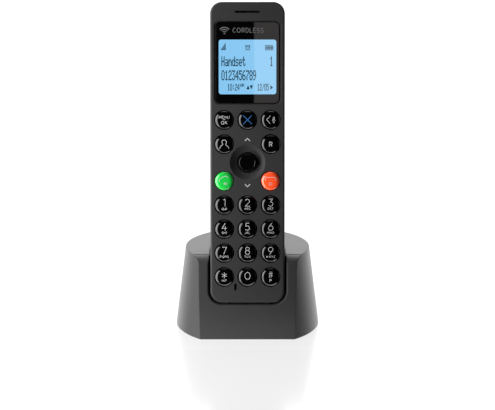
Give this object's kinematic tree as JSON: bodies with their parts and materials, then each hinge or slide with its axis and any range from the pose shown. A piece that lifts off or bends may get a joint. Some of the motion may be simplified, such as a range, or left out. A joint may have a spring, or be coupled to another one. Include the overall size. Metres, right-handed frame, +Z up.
{
  "type": "cordless phone with base",
  "caption": "Slim upright cordless handset with a display and round keys, leaning back in the pocket of a cone-shaped charging base.",
  "frame": {"origin": "On the surface that the base stands on, at the middle of the base's footprint.", "axes": "+Z up. The keys and the display face -Y and a little up, because the handset leans back 11.1 degrees. +X is to the right of somebody facing the keys."},
  "size_m": [0.085, 0.075, 0.1913],
  "materials": {
    "case": "fine matte texture",
    "base": "fine matte texture",
    "keys": "high gloss",
    "green_key": "high gloss, lit from behind",
    "red_key": "high gloss, lit from behind",
    "lens": "polished, printed black behind",
    "display": "lit liquid crystal",
    "rubber": "matte",
    "socket": "moulded",
    "circuit_board": "solder mask",
    "steel": "plated",
    "contact": "gold plated",
    "white_plastic": "satin",
    "cell_wrap": "shrink wrap"
  },
  "bodies": {
    "base": {"base_shell": "base", "base_cover": "base", "base_board": "circuit_board", "base_weight": "steel", "line_socket": "socket", "power_socket": "socket", "base_screw_1": "steel", "base_screw_2": "steel", "base_screw_3": "steel", "foot_1": "rubber", "foot_2": "rubber", "foot_3": "rubber", "foot_4": "rubber", "contact_sleeve_left": "steel", "contact_sleeve_right": "steel"},
    "handset": {"front_cover": "case", "rear_cover": "case", "display_lens": "lens", "lcd_panel": "display", "light_guide": "white_plastic", "lcd_frame": "white_plastic", "main_board": "circuit_board", "keypad_mat": "rubber", "nav_switch": "steel", "earpiece_speaker": "steel", "loudspeaker": "steel", "microphone": "steel", "cell_left": "cell_wrap", "cell_right": "cell_wrap", "cell_spring_left": "steel", "cell_spring_right": "steel", "cell_link": "steel", "charge_pad_left": "contact", "charge_pad_right": "contact", "case_screw_left": "steel", "case_screw_right": "steel"},
    "battery_door": {"battery_door": "case"},
    "nav_knob": {"nav_knob": "keys"},
    "page_button": {"page_button": "keys"},
    "contact_plunger_left": {"contact_plunger_left": "contact"},
    "contact_plunger_right": {"contact_plunger_right": "contact"},
    "key_star": {"key_star": "keys"},
    "key_0": {"key_0": "keys"},
    "key_hash": {"key_hash": "keys"},
    "key_7": {"key_7": "keys"},
    "key_8": {"key_8": "keys"},
    "key_9": {"key_9": "keys"},
    "key_4": {"key_4": "keys"},
    "key_5": {"key_5": "keys"},
    "key_6": {"key_6": "keys"},
    "key_1": {"key_1": "keys"},
    "key_2": {"key_2": "keys"},
    "key_3": {"key_3": "keys"},
    "key_call": {"key_call": "green_key"},
    "key_end": {"key_end": "red_key"},
    "key_contacts": {"key_contacts": "keys"},
    "key_recall": {"key_recall": "keys"},
    "key_menu": {"key_menu": "keys"},
    "key_cancel": {"key_cancel": "keys"},
    "key_back": {"key_back": "keys"}
  },
  "joints": [
    {"name": "handset_lift", "type": "slide", "parent": "base", "child": "handset", "axis": [0, 0.1925, 0.9813], "range_m": [0, 0.06]},
    {"name": "battery_door_swing", "type": "hinge", "parent": "handset", "child": "battery_door", "pos_m": [0, -0.00421, 0.0576], "axis": [-1, 0, 0], "range_deg": [0, 75]},
    {"name": "nav_knob_rock", "type": "hinge", "parent": "handset", "child": "nav_knob", "pos_m": [0, -0.01217, 0.10013], "axis": [1, 0, 0], "range_deg": [-5, 5], "stiffness_Nm_per_rad": 0.5},
    {"name": "key_star_press", "type": "slide", "parent": "handset", "child": "key_star", "axis": [0, 0.9813, -0.1925], "range_m": [0, 0.0005], "stiffness_N_per_m": 600},
    {"name": "key_0_press", "type": "slide", "parent": "handset", "child": "key_0", "axis": [0, 0.9813, -0.1925], "range_m": [0, 0.0005], "stiffness_N_per_m": 600},
    {"name": "key_hash_press", "type": "slide", "parent": "handset", "child": "key_hash", "axis": [0, 0.9813, -0.1925], "range_m": [0, 0.0005], "stiffness_N_per_m": 600},
    {"name": "key_7_press", "type": "slide", "parent": "handset", "child": "key_7", "axis": [0, 0.9813, -0.1925], "range_m": [0, 0.0005], "stiffness_N_per_m": 600},
    {"name": "key_8_press", "type": "slide", "parent": "handset", "child": "key_8", "axis": [0, 0.9813, -0.1925], "range_m": [0, 0.0005], "stiffness_N_per_m": 600},
    {"name": "key_9_press", "type": "slide", "parent": "handset", "child": "key_9", "axis": [0, 0.9813, -0.1925], "range_m": [0, 0.0005], "stiffness_N_per_m": 600},
    {"name": "key_4_press", "type": "slide", "parent": "handset", "child": "key_4", "axis": [0, 0.9813, -0.1925], "range_m": [0, 0.0005], "stiffness_N_per_m": 600},
    {"name": "key_5_press", "type": "slide", "parent": "handset", "child": "key_5", "axis": [0, 0.9813, -0.1925], "range_m": [0, 0.0005], "stiffness_N_per_m": 600},
    {"name": "key_6_press", "type": "slide", "parent": "handset", "child": "key_6", "axis": [0, 0.9813, -0.1925], "range_m": [0, 0.0005], "stiffness_N_per_m": 600},
    {"name": "key_1_press", "type": "slide", "parent": "handset", "child": "key_1", "axis": [0, 0.9813, -0.1925], "range_m": [0, 0.0005], "stiffness_N_per_m": 600},
    {"name": "key_2_press", "type": "slide", "parent": "handset", "child": "key_2", "axis": [0, 0.9813, -0.1925], "range_m": [0, 0.0005], "stiffness_N_per_m": 600},
    {"name": "key_3_press", "type": "slide", "parent": "handset", "child": "key_3", "axis": [0, 0.9813, -0.1925], "range_m": [0, 0.0005], "stiffness_N_per_m": 600},
    {"name": "key_call_press", "type": "slide", "parent": "handset", "child": "key_call", "axis": [0, 0.9813, -0.1925], "range_m": [0, 0.0005], "stiffness_N_per_m": 600},
    {"name": "key_end_press", "type": "slide", "parent": "handset", "child": "key_end", "axis": [0, 0.9813, -0.1925], "range_m": [0, 0.0005], "stiffness_N_per_m": 600},
    {"name": "key_contacts_press", "type": "slide", "parent": "handset", "child": "key_contacts", "axis": [0, 0.9813, -0.1925], "range_m": [0, 0.0005], "stiffness_N_per_m": 600},
    {"name": "key_recall_press", "type": "slide", "parent": "handset", "child": "key_recall", "axis": [0, 0.9813, -0.1925], "range_m": [0, 0.0005], "stiffness_N_per_m": 600},
    {"name": "key_menu_press", "type": "slide", "parent": "handset", "child": "key_menu", "axis": [0, 0.9813, -0.1925], "range_m": [0, 0.0005], "stiffness_N_per_m": 600},
    {"name": "key_cancel_press", "type": "slide", "parent": "handset", "child": "key_cancel", "axis": [0, 0.9813, -0.1925], "range_m": [0, 0.0005], "stiffness_N_per_m": 600},
    {"name": "key_back_press", "type": "slide", "parent": "handset", "child": "key_back", "axis": [0, 0.9813, -0.1925], "range_m": [0, 0.0005], "stiffness_N_per_m": 600},
    {"name": "page_button_press", "type": "slide", "parent": "base", "child": "page_button", "axis": [0, -1, 0], "range_m": [0, 0.0006], "stiffness_N_per_m": 600},
    {"name": "contact_plunger_left_press", "type": "slide", "parent": "base", "child": "contact_plunger_left", "axis": [0, -0.1925, -0.9813], "range_m": [0, 0.0006], "stiffness_N_per_m": 300},
    {"name": "contact_plunger_right_press", "type": "slide", "parent": "base", "child": "contact_plunger_right", "axis": [0, -0.1925, -0.9813], "range_m": [0, 0.0006], "stiffness_N_per_m": 300}
  ]
}
